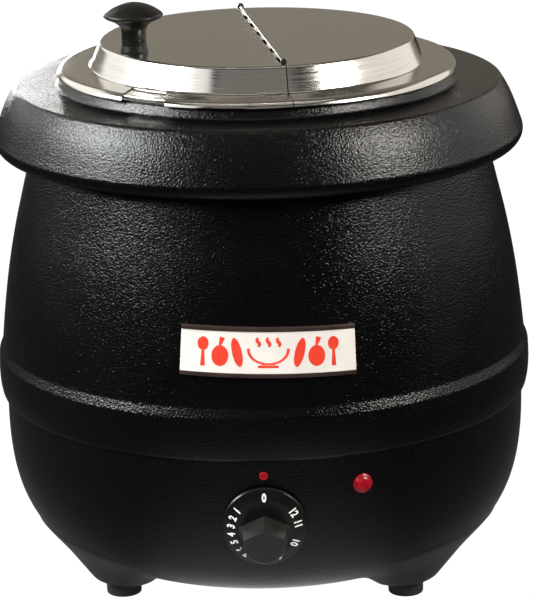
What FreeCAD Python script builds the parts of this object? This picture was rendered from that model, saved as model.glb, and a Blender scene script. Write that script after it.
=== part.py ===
import FreeCAD, Part
import math
import os

# Electric soup kettle: a round painted body with a heated water well, a lift-out
# pot and a lid whose left part folds back on a hinge. Millimetres, +Z up. The
# origin is on the kettle's axis, in the plane of the feet. The front, with the
# dial, looks along -Y.

V = FreeCAD.Vector

# ---- driving dimensions ----
BODY_MAX_R = 169.8       # the widest point, on the rolled band
SHEET = 1.0              # painted steel shells
THIN = 0.8               # stainless well, pot and lid
FOOT_H = 8.0
FOOT_R = 11.4
FOOT_CIRCLE_R = 104.2
FOOT_TURN = -2.8         # degrees, all three legs, seen from above
LEG_BOTTOM_R = 12.6
LEG_SHOULDER_Z = 12.5
LEG_SHOULDER_X = 26.0    # half widths of the leg, along the bowl and towards its axis
LEG_SHOULDER_Y = 19.5
LEG_TOP_Z = 50.0
LEG_TOP_X = 84.0
LEG_TOP_Y = 46.0
BOWL_FLOOR_Z = 21.0
BASE_HOLE_R = 66.0
BAND_LOW_Z = 126.6
BAND_TOP_Z = 158.0
COLLAR_TOP_Z = 324.2
COLLAR_EDGE_Z = 284.5
NECK_Z = 330.9           # top of the collar's neck, under the seal
NECK_R = 121.9
SEAL_T = 0.8
SEAL_R = 120.4
WELL_R = 118.2           # outside of the water well
WELL_RIM_R = 121.0
WELL_FLOOR_Z = 70.0
POT_R = 105.5            # outside of the lift-out pot
POT_FLOOR_Z = 86.0
RIM_R = 121.2            # outside of the pot's hemmed rim
RIM_H = 2.0
HEM_R = 117.2            # where the hem under the rim ends
LID_RIM_R = 125.2
LIP_H = 4.0              # the lid's edge, turned down around the rim
LIP_LEAN = 0.85
LIP_BEND_R = 4.9
LID_TOP_Z = 350.9
LID_TOP_R = 98.2
LID_FOOT_R = 104.5
HINGE_TURN = 8.6         # degrees, the hinge line seen from above, from the Y axis
HINGE_OFFSET = 3.8       # hinge line to the kettle's axis
HINGE_FRONT = 86.0
HINGE_BACK = 98.0
KNUCKLES = 13
KNUCKLE_R = 1.4
FLAP_POCKET = 1.3        # free space round the fixed knuckles, on the folding side
FIXED_POCKET = 0.4
PIN_R = 0.8
PIN_FRONT_R = 1.7
PIN_BACK_R = 2.15
PIN_HEAD_L = 1.6
RUNNING = 0.05
HALF_GAP = 0.3           # each lid half stops this far from the hinge plane
# The ladle notch: its corners seen from above, and the foot of the lid's side where it stops.
NOTCH = [(-90.4, -130.0), (-73.5, -72.4), (-53.3, -84.0), (-54.3, -140.0)]
NOTCH_INNER_R = 105.2
KNOB_TURN = -57.8
KNOB_POS_R = 87.5
DIAL_Z = 86.5
DIAL_R = 25.6
INDEX_Z = 117.9
LAMP_TURN = 20.8
LAMP_Z = 108.5
LABEL_TURN = 1.6
LABEL_TILT = -1.6
LABEL_LOW_Z = 179.0
LABEL_HIGH_Z = 208.8
LABEL_ARC = 36.4         # degrees
GLAND_Z = 66.0
SHAFT_R = 3.0
BUSH_R = 5.2             # the thermostat's threaded bush
BUSH_HOLE_R = 5.4
DIAL_SCREW_X = 14.0      # the thermostat's screws, each side of the shaft
DIAL_SCREW_R = 1.45
DIAL_SCREW_HOLE_R = 2.1
INDEX_STEM_R = 1.6
INDEX_HOLE_R = 1.65
LAMP_BARREL_R = 4.95
LAMP_HOLE_R = 5.2
THREAD_R = 2.45          # M5 screws and studs
THREAD_HOLE_R = 2.6
NUT_ACROSS = 8.0
NUT_H = 4.0
FOOT_HOLE_R = 2.7
BASE_SCREW_SHANK_R = 1.85
BASE_SCREW_HOLE_R = 2.1
CABLE_R = 3.4
GLAND_THREAD_R = 6.1
GLAND_HOLE_R = 6.2
FOOT_TURNS = [-60.0 + FOOT_TURN, 60.0 + FOOT_TURN, 180.0 + FOOT_TURN]
WELL_RIM_TOP = NECK_Z + SEAL_T + THIN
RIM_TOP = WELL_RIM_TOP + RIM_H

os.makedirs("parts", exist_ok=True)


# ---- helpers ----
def save(name, shape):
    shape.exportStep("parts/" + name + ".step")


def fuse(shapes):
    return shapes[0].fuse(shapes[1:]).removeSplitter()


def smooth_radius(before, corner, after):
    """The largest fillet that stays inside half of the shorter run."""
    a = math.dist(before, corner)
    b = math.dist(corner, after)
    cos_turn = ((corner[0] - before[0]) * (after[0] - corner[0])
                + (corner[1] - before[1]) * (after[1] - corner[1])) / (a * b)
    half = math.acos(max(-1.0, min(1.0, cos_turn))) / 2
    if half < 1e-6:
        return 0.0
    return 0.49 * min(a, b) / math.tan(half)


def with_radii(points, soft=True):
    """Give every inner corner its radius: its own, or the largest that fits if soft."""
    out = []
    for i, p in enumerate(points):
        on_axis = abs(p[0]) < 1e-6
        if i == 0 or i == len(points) - 1 or on_axis or (len(p) == 2 and not soft):
            out.append((p[0], p[1], 0.0))
        elif len(p) == 2:
            out.append((p[0], p[1], smooth_radius(points[i - 1][:2], p, points[i + 1][:2])))
        else:
            out.append(p)
    return out


def beside(points, gap):
    """The same run of corners, moved sideways (to the right of travel) by gap."""
    out = []
    last = len(points) - 1
    for i, (x, y, radius) in enumerate(points):
        dirs = []
        if i > 0:
            dirs.append((x - points[i - 1][0], y - points[i - 1][1]))
        if i < last:
            dirs.append((points[i + 1][0] - x, points[i + 1][1] - y))
        normals = []
        for dx, dy in dirs:
            size = math.hypot(dx, dy)
            normals.append((dy / size, -dx / size))
        if len(normals) == 1:
            nx, ny = normals[0]
            out.append((x + nx * gap, y + ny * gap, 0.0))
            continue
        (ax, ay), (bx, by) = normals
        scale = gap / (1 + ax * bx + ay * by)
        turn = dirs[0][0] * dirs[1][1] - dirs[0][1] * dirs[1][0]
        change = gap if turn > 0 else -gap
        out.append((x + (ax + bx) * scale, y + (ay + by) * scale, max(radius + change, 0.05)))
    return out


def run_edges(points):
    """Lines joined by tangent arcs through corners (r, z, radius) in the XZ plane."""
    edges = []
    here = V(points[0][0], 0, points[0][1])
    for i in range(1, len(points)):
        corner = V(points[i][0], 0, points[i][1])
        radius = points[i][2]
        if i == len(points) - 1 or radius <= 0:
            if (corner - here).Length > 1e-6:
                edges.append(Part.LineSegment(here, corner).toShape())
            here = corner
            continue
        after = V(points[i + 1][0], 0, points[i + 1][1])
        d_in = V(corner - V(points[i - 1][0], 0, points[i - 1][1])).normalize()
        d_out = V(after - corner).normalize()
        half = d_in.getAngle(d_out) / 2
        if half < 1e-4:
            continue
        cut = radius * math.tan(half)
        start = corner - d_in * cut
        end = corner + d_out * cut
        to_middle = V(d_out - d_in).normalize()
        middle = corner + to_middle * (radius / math.cos(half) - radius)
        if (start - here).Length > 1e-6:
            edges.append(Part.LineSegment(here, start).toShape())
        edges.append(Part.Arc(start, middle, end).toShape())
        here = end
    return edges


def turned(points, angle=360.0, soft=False):
    """A solid turned about Z from a closed outline of corners (r, z[, radius])."""
    corners = with_radii(list(points) + [points[0]], soft)
    face = Part.Face(Part.Wire(run_edges(corners)))
    return face.revolve(V(0, 0, 0), V(0, 0, 1), angle)


def turned_sheet(points, thickness):
    """A sheet-metal shell turned about Z; the corners lie on its left-hand face."""
    near = with_radii(points)
    far = beside(near, thickness)
    edges = run_edges(near)
    edges += run_edges(far)
    for i in (0, -1):
        near_end = V(near[i][0], 0, near[i][1])
        far_end = V(far[i][0], 0, far[i][1])
        edges.append(Part.LineSegment(near_end, far_end).toShape())
    face = Part.Face(Part.Wire(Part.__sortEdges__(edges)))
    return face.revolve(V(0, 0, 0), V(0, 0, 1), 360)


def filled(points):
    """The full solid inside a run of corners that starts and ends anywhere."""
    closed = [(0.0, points[0][1])] + list(points) + [(0.0, points[-1][1])]
    corners = with_radii(closed)
    corners[1] = (corners[1][0], corners[1][1], 0.0)
    corners[-2] = (corners[-2][0], corners[-2][1], 0.0)
    edges = run_edges(corners)
    first = V(corners[0][0], 0, corners[0][1])
    last = V(corners[-1][0], 0, corners[-1][1])
    edges.append(Part.LineSegment(last, first).toShape())
    face = Part.Face(Part.Wire(Part.__sortEdges__(edges)))
    return face.revolve(V(0, 0, 0), V(0, 0, 1), 360)


def cylinder(radius, height, at=(0, 0, 0), along=(0, 0, 1)):
    return Part.makeCylinder(radius, height, V(*at), V(*along))


def ring(outer, inner, height, at=(0, 0, 0), along=(0, 0, 1)):
    return cylinder(outer, height, at, along).cut(cylinder(inner, height, at, along))


def block(dx, dy, dz, at):
    return Part.makeBox(dx, dy, dz, V(*at))


def rounded_block(dx, dy, dz, at, radius):
    solid = block(dx, dy, dz, at)
    upright = [e for e in solid.Edges if abs(e.tangentAt(e.FirstParameter).z) > 0.99]
    return solid.makeFillet(radius, upright)


def hexagon(across, height, at=(0, 0, 0)):
    corner_r = across / 2 / math.cos(math.radians(30))
    pts = [V(at[0] + corner_r * math.cos(math.radians(60 * i)),
             at[1] + corner_r * math.sin(math.radians(60 * i)), at[2]) for i in range(7)]
    return Part.Face(Part.makePolygon(pts)).extrude(V(0, 0, height))


def nut(across, hole_r, height, at=(0, 0, 0)):
    return hexagon(across, height, at).cut(cylinder(hole_r, height, at))


def tube(points, radius):
    """A round tube along straight runs joined by the largest tangent arcs."""
    pts = [V(*p) for p in points]
    edges = []
    here = pts[0]
    for i in range(1, len(pts) - 1):
        d_in = V(pts[i] - pts[i - 1])
        d_out = V(pts[i + 1] - pts[i])
        reach = 0.45 * min(d_in.Length, d_out.Length)
        d_in.normalize()
        d_out.normalize()
        half = d_in.getAngle(d_out) / 2
        bend = reach / math.tan(half)
        start = pts[i] - d_in * reach
        end = pts[i] + d_out * reach
        to_middle = V(d_out - d_in).normalize()
        middle = pts[i] + to_middle * (bend / math.cos(half) - bend)
        edges.append(Part.LineSegment(here, start).toShape())
        edges.append(Part.Arc(start, middle, end).toShape())
        here = end
    edges.append(Part.LineSegment(here, pts[-1]).toShape())
    path = Part.Wire(edges)
    circle = Part.Wire(Part.makeCircle(radius, pts[0], V(pts[1] - pts[0])))
    return path.makePipeShell([circle], True, False)


def turn_about_z(shape, degrees):
    out = shape.copy()
    out.rotate(V(0, 0, 0), V(0, 0, 1), degrees)
    return out


def outward(degrees):
    """The horizontal direction at this many degrees from the front, towards +X."""
    a = math.radians(degrees)
    return V(math.sin(a), -math.cos(a), 0)


def on_wall(shape, degrees, wall_r, z, lean):
    """Set a shape on the wall: its +Z looks outward and down by lean, its +Y looks up."""
    out_dir = outward(degrees)
    a = math.radians(lean)
    across = V(math.cos(math.radians(degrees)), math.sin(math.radians(degrees)), 0)
    facing = out_dir * math.cos(a) - V(0, 0, 1) * math.sin(a)
    up = out_dir * math.sin(a) + V(0, 0, 1) * math.cos(a)
    origin = out_dir * wall_r + V(0, 0, z)
    matrix = FreeCAD.Matrix(across.x, up.x, facing.x, origin.x,
                            across.y, up.y, facing.y, origin.y,
                            across.z, up.z, facing.z, origin.z,
                            0, 0, 0, 1)
    out = shape.copy()
    out.Placement = FreeCAD.Placement(matrix).multiply(out.Placement)
    return out


def wall_at(points, z):
    """Radius and lean, in degrees, of a run of corners at this height."""
    for a, b in zip(points, points[1:]):
        if min(a[1], b[1]) <= z <= max(a[1], b[1]) and a[1] != b[1]:
            share = (z - a[1]) / (b[1] - a[1])
            return a[0] + share * (b[0] - a[0]), math.degrees(math.atan2(b[0] - a[0], b[1] - a[1]))
    raise ValueError("no wall at this height")


# ---- body outlines, outside faces ----
# The bowl, from its bottom opening up to the lap inside the band.
BOWL = [(BASE_HOLE_R, BOWL_FLOOR_Z), (90.0, BOWL_FLOOR_Z), (118.0, 27.0), (139.5, 37.5),
        (150.5, 48.5), (158.4, 64.0), (162.9, 81.0), (165.1, 101.0), (165.3, 122.0),
        (165.3, 146.0)]
# The bell, from its top flange down and over the band to the curled lower edge.
BELL = [(126.5, COLLAR_TOP_Z - SHEET), (134.5, COLLAR_TOP_Z - SHEET, 3.0), (139.0, 300.0),
        (144.5, 280.0), (150.3, 256.5), (155.3, 236.5), (159.4, 216.5), (162.6, 197.0),
        (165.1, 177.5), (166.9, BAND_TOP_Z + 2.0, 6.0), (169.3, BAND_TOP_Z - 4.0, 5.0),
        (BODY_MAX_R + 0.1, 143.0), (169.3, 134.0), (167.9, BAND_LOW_Z + 1.0, 4.0),
        (165.9, BAND_LOW_Z)]
# The collar, from its neck out over the flat ring, down the shoulder to the curl.
COLLAR = [(118.9, NECK_Z), (NECK_R, NECK_Z, 1.5), (125.2, COLLAR_TOP_Z, 3.0),
          (152.2, COLLAR_TOP_Z, 3.5), (157.6, 315.5), (161.4, 306.5), (164.4, 298.0),
          (169.0, COLLAR_EDGE_Z, 7.4), (157.6, COLLAR_EDGE_Z)]


# ---- places on the bowl's wall ----
def dial_place(shape):
    wall_r, lean = wall_at(BOWL, DIAL_Z)
    return on_wall(shape, 0, wall_r, DIAL_Z, lean)


def index_place(shape):
    wall_r, lean = wall_at(BOWL, INDEX_Z)
    return on_wall(shape, 0, wall_r, INDEX_Z, lean)


def lamp_place(shape):
    wall_r, lean = wall_at(BOWL, LAMP_Z)
    return on_wall(shape, LAMP_TURN, wall_r, LAMP_Z, lean)


def gland_place(shape):
    wall_r, lean = wall_at(BOWL, GLAND_Z)
    return on_wall(shape, 180, wall_r, GLAND_Z, lean)


# ---- shells ----
def leg(inset):
    """One stamped leg: round at the foot, widening through a shoulder to an oval."""
    low_z = FOOT_H + inset
    low = Part.Wire(Part.makeCircle(LEG_BOTTOM_R - inset, V(0, -FOOT_CIRCLE_R, low_z)))
    shoulder = Part.Ellipse(V(0, -FOOT_CIRCLE_R, LEG_SHOULDER_Z + inset),
                            LEG_SHOULDER_X - inset, LEG_SHOULDER_Y - inset).toShape()
    top = Part.Ellipse(V(0, -FOOT_CIRCLE_R, LEG_TOP_Z),
                       LEG_TOP_X - inset, LEG_TOP_Y - inset).toShape()
    foot_part = Part.makeLoft([low, Part.Wire(shoulder)], True)
    upper_part = Part.makeLoft([Part.Wire(shoulder), Part.Wire(top)], True)
    return foot_part.fuse(upper_part)


def make_lower_bowl():
    outer = filled(BOWL)
    inner = filled(beside(with_radii(BOWL), -SHEET))
    legs = leg(0.0)
    hollows = leg(SHEET)
    for turn in FOOT_TURNS:
        outer = outer.fuse(turn_about_z(legs, turn))
        inner = inner.fuse(turn_about_z(hollows, turn))
    shell = outer.cut(inner)
    shell = shell.cut(cylinder(BASE_HOLE_R, 40, (0, 0, 0)))
    for turn in FOOT_TURNS:
        spot = outward(turn) * FOOT_CIRCLE_R
        shell = shell.cut(cylinder(FOOT_HOLE_R, 20, (spot.x, spot.y, 0)))
    for turn in BASE_SCREW_TURNS:
        spot = outward(turn) * BASE_SCREW_R
        shell = shell.cut(cylinder(BASE_SCREW_SHANK_R + RUNNING, 10, (spot.x, spot.y, 17)))
    shell = shell.cut(dial_place(cylinder(BUSH_HOLE_R, 20, (0, 0, -10))))
    for side in (-1, 1):
        hole = cylinder(DIAL_SCREW_HOLE_R, 20, (DIAL_SCREW_X * side, 0, -12))
        shell = shell.cut(dial_place(hole))
    shell = shell.cut(index_place(cylinder(INDEX_HOLE_R, 10, (0, 0, -5))))
    shell = shell.cut(lamp_place(cylinder(LAMP_HOLE_R, 20, (0, 0, -10))))
    shell = shell.cut(gland_place(cylinder(GLAND_HOLE_R, 20, (0, 0, -10))))
    return max(shell.Solids, key=lambda s: s.Volume)


def make_upper_shell():
    return turned_sheet(BELL, SHEET)


def make_top_collar():
    return turned_sheet(COLLAR, SHEET)


def make_well_seal():
    return ring(SEAL_R, 118.9, SEAL_T, (0, 0, NECK_Z))


def make_water_well():
    # Inside face from the floor up the wall and out over the seal.
    run = [(0.0, WELL_FLOOR_Z + THIN), (WELL_R - THIN, WELL_FLOOR_Z + THIN, 9.0),
           (WELL_R - THIN, WELL_RIM_TOP, 1.0), (WELL_RIM_R, WELL_RIM_TOP)]
    return turned_sheet(run, THIN)


def make_insert_pot():
    run = [(0.0, POT_FLOOR_Z + THIN), (POT_R - THIN, POT_FLOOR_Z + THIN, 18.0),
           (POT_R - THIN, RIM_TOP, 1.2), (RIM_R, RIM_TOP, 0.95),
           (RIM_R, WELL_RIM_TOP, 0.95), (HEM_R, WELL_RIM_TOP)]
    return turned_sheet(run, THIN)


# ---- lid ----
HINGE_Z = LID_TOP_Z - THIN + KNUCKLE_R
FLANGE_Z = RIM_TOP + THIN


def lid_pressing():
    run = [(0.0, LID_TOP_Z), (LID_TOP_R, LID_TOP_Z, 2.2), (LID_FOOT_R, FLANGE_Z, 1.6),
           (LID_RIM_R - LIP_LEAN, FLANGE_Z, LIP_BEND_R), (LID_RIM_R, FLANGE_Z - LIP_H)]
    run.reverse()
    return turned_sheet(run, -THIN)


def hinge_frame(shape):
    """From hinge coordinates (Y along the pin, origin on its axis) to the kettle's."""
    out = shape.copy()
    out.translate(V(HINGE_OFFSET, 0, HINGE_Z))
    return turn_about_z(out, HINGE_TURN)


def knuckle_spans():
    length = (HINGE_FRONT + HINGE_BACK) / KNUCKLES
    for i in range(KNUCKLES):
        start = -HINGE_FRONT + i * length
        yield i, start, start + length


def knuckle_set(parity):
    solids = []
    for i, start, end in knuckle_spans():
        if i % 2 == parity:
            solids.append(cylinder(KNUCKLE_R, end - start - 0.4, (0, start + 0.2, 0), (0, 1, 0)))
    return solids


def pocket_set(parity, space):
    solids = []
    for i, start, end in knuckle_spans():
        if i % 2 != parity:
            solids.append(cylinder(KNUCKLE_R + space, end - start, (0, start, 0), (0, 1, 0)))
    for start in (-HINGE_FRONT - 2.4, HINGE_BACK):
        solids.append(cylinder(PIN_BACK_R + 0.4, 2.4, (0, start, 0), (0, 1, 0)))
    return solids


def ladle_notch():
    low = FLANGE_Z - LIP_H - 2.0
    height = LIP_H + 10.0
    corners = [V(x, y, low) for x, y in NOTCH + NOTCH[:1]]
    cut = Part.Face(Part.makePolygon(corners)).extrude(V(0, 0, height))
    return cut.cut(cylinder(NOTCH_INNER_R, height, (0, 0, low)))


def make_lid_part(side, parity):
    """side -1 is the folding left part, +1 the right part that stays down."""
    keep_from = -400.0 if side < 0 else HALF_GAP
    keep = block(400.0 - HALF_GAP, 400.0, 60.0, (keep_from, -200.0, -40.0))
    body = lid_pressing().common(hinge_frame(keep))
    space = FLAP_POCKET if side < 0 else FIXED_POCKET
    for pocket in pocket_set(parity, space):
        body = body.cut(hinge_frame(pocket))
    body = body.fuse([hinge_frame(k) for k in knuckle_set(parity)])
    length = HINGE_FRONT + HINGE_BACK
    bore = cylinder(PIN_R + RUNNING, length + 20, (0, -HINGE_FRONT - 10, 0), (0, 1, 0))
    body = body.cut(hinge_frame(bore))
    if side < 0:
        body = body.cut(ladle_notch())
        spot = outward(KNOB_TURN) * KNOB_POS_R
        body = body.cut(cylinder(THREAD_HOLE_R, 20, (spot.x, spot.y, LID_TOP_Z - 10)))
    return max(body.removeSplitter().Solids, key=lambda s: s.Volume)


def make_hinge_pin():
    length = HINGE_FRONT + HINGE_BACK
    rod = cylinder(PIN_R, length + 0.8, (0, -HINGE_FRONT - 0.4, 0), (0, 1, 0))
    front_at = (0, -HINGE_FRONT - 0.4 - PIN_HEAD_L, 0)
    front = cylinder(PIN_FRONT_R, PIN_HEAD_L, front_at, (0, 1, 0))
    back = cylinder(PIN_BACK_R, PIN_HEAD_L, (0, HINGE_BACK + 0.4, 0), (0, 1, 0))
    return hinge_frame(fuse([rod, front, back]))


def knob_place(shape):
    spot = outward(KNOB_TURN) * KNOB_POS_R
    out = shape.copy()
    out.translate(V(spot.x, spot.y, LID_TOP_Z))
    return out


FERRULE_H = 7.8


def make_knob_ferrule():
    body = turned([(THREAD_HOLE_R, 0.0), (8.6, 0.0), (8.4, 1.5), (7.6, 5.0), (7.5, FERRULE_H),
                   (THREAD_HOLE_R, FERRULE_H)])
    return knob_place(body)


def make_lid_knob():
    body = turned([(0.0, FERRULE_H), (7.4, FERRULE_H, 0.0), (7.4, 12.6), (8.2, 16.4), (11.5, 19.3),
                   (17.3, 21.8), (18.4, 23.3, 0.8), (17.5, 24.6), (12.3, 28.2), (6.0, 30.5),
                   (0.0, 31.2)], soft=True)
    thread = cylinder(THREAD_R + RUNNING, 12.0, (0, 0, FERRULE_H))
    return knob_place(body.cut(thread))


def make_knob_screw():
    shank = cylinder(THREAD_R, 19.5, (0, 0, -THIN - 0.2))
    head = cylinder(4.8, 2.6, (0, 0, -THIN - 2.8))
    slot = cylinder(1.6, 1.4, (0, 0, -THIN - 2.8))
    return knob_place(fuse([shank, head]).cut(slot))


# ---- dial, index and lamp ----
SKIRT_GAP = 1.0
SKIRT_T = 4.6
GRIP_H = 27.0
GRIP_TURN_R = 12.8
GRIP_FACET_Y = 8.6       # where the grip's two top facets meet
GRIP_FACET_TURN = 24.0   # degrees
GRIP_FACET_Z = 5.2       # the facets stop this far above the wall


def make_control_dial():
    skirt = turned([(0.0, SKIRT_GAP), (DIAL_R - 0.4, SKIRT_GAP, 0.3), (DIAL_R, 2.2, 0.4),
                    (DIAL_R - 0.6, 3.4, 0.6), (19.5, SKIRT_GAP + SKIRT_T, 1.5),
                    (0.0, SKIRT_GAP + SKIRT_T + 0.4)])
    grip = turned([(0.0, 3.0), (16.2, 3.0), (15.6, 6.4, 2.0), (13.8, 9.0), (GRIP_TURN_R, 15.0),
                   (GRIP_TURN_R - 0.3, GRIP_H, 0.5), (0.0, GRIP_H)])
    for side in (-1, 1):
        facet = block(40.0, 20.0, GRIP_H, (-20.0, GRIP_FACET_Y, GRIP_FACET_Z))
        facet.rotate(V(0, GRIP_FACET_Y, 0), V(0, 0, 1), GRIP_FACET_TURN * side)
        grip = grip.cut(facet)
    dial = fuse([skirt, grip])
    socket = cylinder(SHAFT_R + RUNNING, 13.0, (0, 0, 0))
    clip_seat = cylinder(5.2, 1.2, (0, 0, SKIRT_GAP))
    screw_recess = ring(20.0, 7.0, 1.6, (0, 0, 0))
    return dial_place(dial.cut(socket).cut(clip_seat).cut(screw_recess))


def make_thermostat_shaft():
    return dial_place(cylinder(SHAFT_R, 22.0, (0, 0, -10.0)))


def make_dial_spring_clip():
    return dial_place(ring(5.0, SHAFT_R + RUNNING, 0.8, (0, 0, SKIRT_GAP + 0.2)))


def make_thermostat_body():
    case = rounded_block(38.0, 30.0, 24.0, (-19.0, -15.0, -34.0), 2.0)
    bushing = cylinder(BUSH_R, 9.8, (0, 0, -10.5))
    bore = cylinder(SHAFT_R + RUNNING, 14.0, (0, 0, -12.5))
    tabs = [block(0.8, 6.3, 8.0, (x, -3.1, -42.0)) for x in (-10.0, 8.0)]
    body = fuse([case, bushing] + tabs).cut(bore)
    for side in (-1, 1):
        body = body.cut(cylinder(DIAL_SCREW_R + RUNNING, 8.0, (DIAL_SCREW_X * side, 0, -16.0)))
    return dial_place(body)


def make_thermostat_bracket():
    plate = rounded_block(44.0, 26.0, 1.5, (-22.0, -13.0, -9.9), 3.0)
    plate = plate.cut(cylinder(BUSH_HOLE_R, 10.0, (0, 0, -15.0)))
    spacers = []
    for side in (-1, 1):
        plate = plate.cut(cylinder(DIAL_SCREW_HOLE_R, 10.0, (DIAL_SCREW_X * side, 0, -15.0)))
        spacers.append(ring(3.6, DIAL_SCREW_HOLE_R, 6.1, (DIAL_SCREW_X * side, 0, -8.5)))
    return dial_place(fuse([plate] + spacers))


def make_thermostat_screws():
    screws = []
    for side in (-1, 1):
        shank = cylinder(DIAL_SCREW_R, 15.0, (DIAL_SCREW_X * side, 0, -15.0))
        head = cylinder(3.2, 1.2, (DIAL_SCREW_X * side, 0, -0.2))
        screws.append(dial_place(fuse([shank, head])))
    return Part.makeCompound(screws)


def make_index_marker():
    cap = turned([(0.0, 0.15), (2.75, 0.15), (2.6, 0.9), (2.0, 1.2), (1.7, 1.1), (0.0, 1.6)])
    stem = cylinder(INDEX_STEM_R, 4.5, (0, 0, -4.0))
    return index_place(fuse([cap, stem]))


def make_lamp_lens():
    lens = turned([(0.0, 0.3), (6.1, 0.3), (6.1, 1.3, 0.4), (5.0, 2.0, 0.3), (4.6, 2.6),
                   (3.2, 3.4), (0.0, 3.9)])
    neck = cylinder(LAMP_BARREL_R, 5.3, (0, 0, -5.0))
    return lamp_place(fuse([lens, neck]))


def make_lamp_body():
    tube_part = ring(LAMP_BARREL_R, 4.0, 17.0, (0, 0, -22.0))
    floor = cylinder(LAMP_BARREL_R, 2.0, (0, 0, -24.0))
    tabs = [block(0.8, 3.0, 8.0, (x, -1.5, -32.0)) for x in (-3.0, 2.2)]
    return lamp_place(fuse([tube_part, floor] + tabs))


def make_lamp_clip():
    return lamp_place(ring(8.0, LAMP_BARREL_R + RUNNING, 1.2, (0, 0, -6.3)))


# ---- label ----
HOLDER_BACK = 0.75       # the holder's back stands this far off the bell
HOLDER_DEPTH = 1.9
HOLDER_LIP_H = 2.6
HOLDER_LIP_T = 0.5
HOLDER_SIDE_T = 0.7
HOLDER_BACK_T = 0.6
CARD_OFFSET = 1.5
CARD_T = 0.6
CARD_INSET = 0.9         # top and bottom, inside the holder


def label_point(offset, z):
    """A point this far off the straight wall behind the label."""
    low_r, _ = wall_at(BELL, LABEL_LOW_Z)
    high_r, _ = wall_at(BELL, LABEL_HIGH_Z)
    slope = (high_r - low_r) / (LABEL_HIGH_Z - LABEL_LOW_Z)
    return (low_r + slope * (z - LABEL_LOW_Z) + offset, z, 0.0)


def make_label_holder():
    low = LABEL_LOW_Z
    high = LABEL_HIGH_Z
    front = HOLDER_BACK + HOLDER_DEPTH
    lip_back = front - HOLDER_LIP_T
    back_front = HOLDER_BACK + HOLDER_BACK_T
    outline = [label_point(HOLDER_BACK, low), label_point(front, low),
               label_point(front, low + HOLDER_LIP_H), label_point(lip_back, low + HOLDER_LIP_H),
               label_point(lip_back, low + HOLDER_SIDE_T), label_point(back_front, low + HOLDER_SIDE_T),
               label_point(back_front, high - HOLDER_SIDE_T), label_point(lip_back, high - HOLDER_SIDE_T),
               label_point(lip_back, high - HOLDER_LIP_H), label_point(front, high - HOLDER_LIP_H),
               label_point(front, high), label_point(HOLDER_BACK, high)]
    return label_place(turned(outline, LABEL_ARC))


def label_place(shape):
    """Turn the label to the front and give it its slight slant."""
    middle = outward(LABEL_TURN)
    out = turn_about_z(shape, -90.0 + LABEL_TURN - LABEL_ARC / 2)
    z_mid = (LABEL_LOW_Z + LABEL_HIGH_Z) / 2
    out.rotate(V(0, 0, z_mid), middle, LABEL_TILT)
    return out


def make_label_card():
    low = LABEL_LOW_Z + CARD_INSET
    high = LABEL_HIGH_Z - CARD_INSET
    outline = [label_point(CARD_OFFSET, low), label_point(CARD_OFFSET + CARD_T, low),
               label_point(CARD_OFFSET + CARD_T, high), label_point(CARD_OFFSET, high)]
    return label_place(turned(outline, LABEL_ARC))


# ---- heater and controls inside ----
ELEMENT_R = 72.0
ELEMENT_TUBE = 3.5
ELEMENT_Z = WELL_FLOOR_Z - 0.1 - ELEMENT_TUBE
PLATE_Z = ELEMENT_Z - ELEMENT_TUBE - 1.6
STUD_TURNS = [0.0, 120.0, 240.0]
STUD_R = 50.0
STUD_BELOW = 6.5
TAIL_TURNS = (78.0, 102.0)   # degrees, the element's two ends, either side of the rear


def make_heating_element():
    loop = Part.makeTorus(ELEMENT_R, ELEMENT_TUBE, V(0, 0, ELEMENT_Z), V(0, 0, 1), 0, 360, 336)
    loop.rotate(V(0, 0, 0), V(0, 0, 1), TAIL_TURNS[1])
    solids = [loop]
    for turn in TAIL_TURNS:
        a = math.radians(turn)
        x = ELEMENT_R * math.cos(a)
        y = ELEMENT_R * math.sin(a)
        solids.append(Part.makeSphere(ELEMENT_TUBE, V(x, y, ELEMENT_Z)))
        solids.append(cylinder(ELEMENT_TUBE, 20.0, (x, y, ELEMENT_Z - 20.0)))
        solids.append(cylinder(1.6, 8.0, (x, y, ELEMENT_Z - 28.0)))
    return fuse(solids)


def make_heater_plate():
    plate = ring(88.0, 14.0, 1.5, (0, 0, PLATE_Z))
    for turn in STUD_TURNS:
        spot = outward(turn) * STUD_R
        plate = plate.cut(cylinder(THREAD_HOLE_R, 4.0, (spot.x, spot.y, PLATE_Z - 1)))
    for turn in TAIL_TURNS:
        x = ELEMENT_R * math.cos(math.radians(turn))
        y = ELEMENT_R * math.sin(math.radians(turn))
        plate = plate.cut(cylinder(5.0, 4.0, (x, y, PLATE_Z - 1)))
    return plate


def make_heater_studs():
    studs = []
    for turn in STUD_TURNS:
        spot = outward(turn) * STUD_R
        length = WELL_FLOOR_Z - PLATE_Z + STUD_BELOW
        studs.append(cylinder(THREAD_R, length, (spot.x, spot.y, PLATE_Z - STUD_BELOW)))
    return Part.makeCompound(studs)


def make_heater_nuts():
    nuts = []
    for turn in STUD_TURNS:
        spot = outward(turn) * STUD_R
        nuts.append(nut(NUT_ACROSS, THREAD_R + RUNNING, NUT_H, (spot.x, spot.y, PLATE_Z - NUT_H)))
    return Part.makeCompound(nuts)


def make_thermal_cutout():
    cup = cylinder(8.0, 6.0, (0, 0, WELL_FLOOR_Z - 6.0))
    body = cylinder(7.0, 5.0, (0, 0, WELL_FLOOR_Z - 11.0))
    tabs = [block(0.8, 6.3, 8.0, (x, -3.1, WELL_FLOOR_Z - 19.0)) for x in (-5.0, 4.2)]
    return fuse([cup, body] + tabs)


BLANKET_LOW_Z = 109.0
BLANKET_TOP_Z = 297.0


def make_insulation_blanket():
    return ring(130.0, WELL_R + 0.8, BLANKET_TOP_Z - BLANKET_LOW_Z, (0, 0, BLANKET_LOW_Z))


BULB_TURN = 50.0
BULB_Z = 79.0
BULB_TUBE = 3.0
BULB_CIRCLE_R = WELL_R + 0.3 + BULB_TUBE


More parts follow.
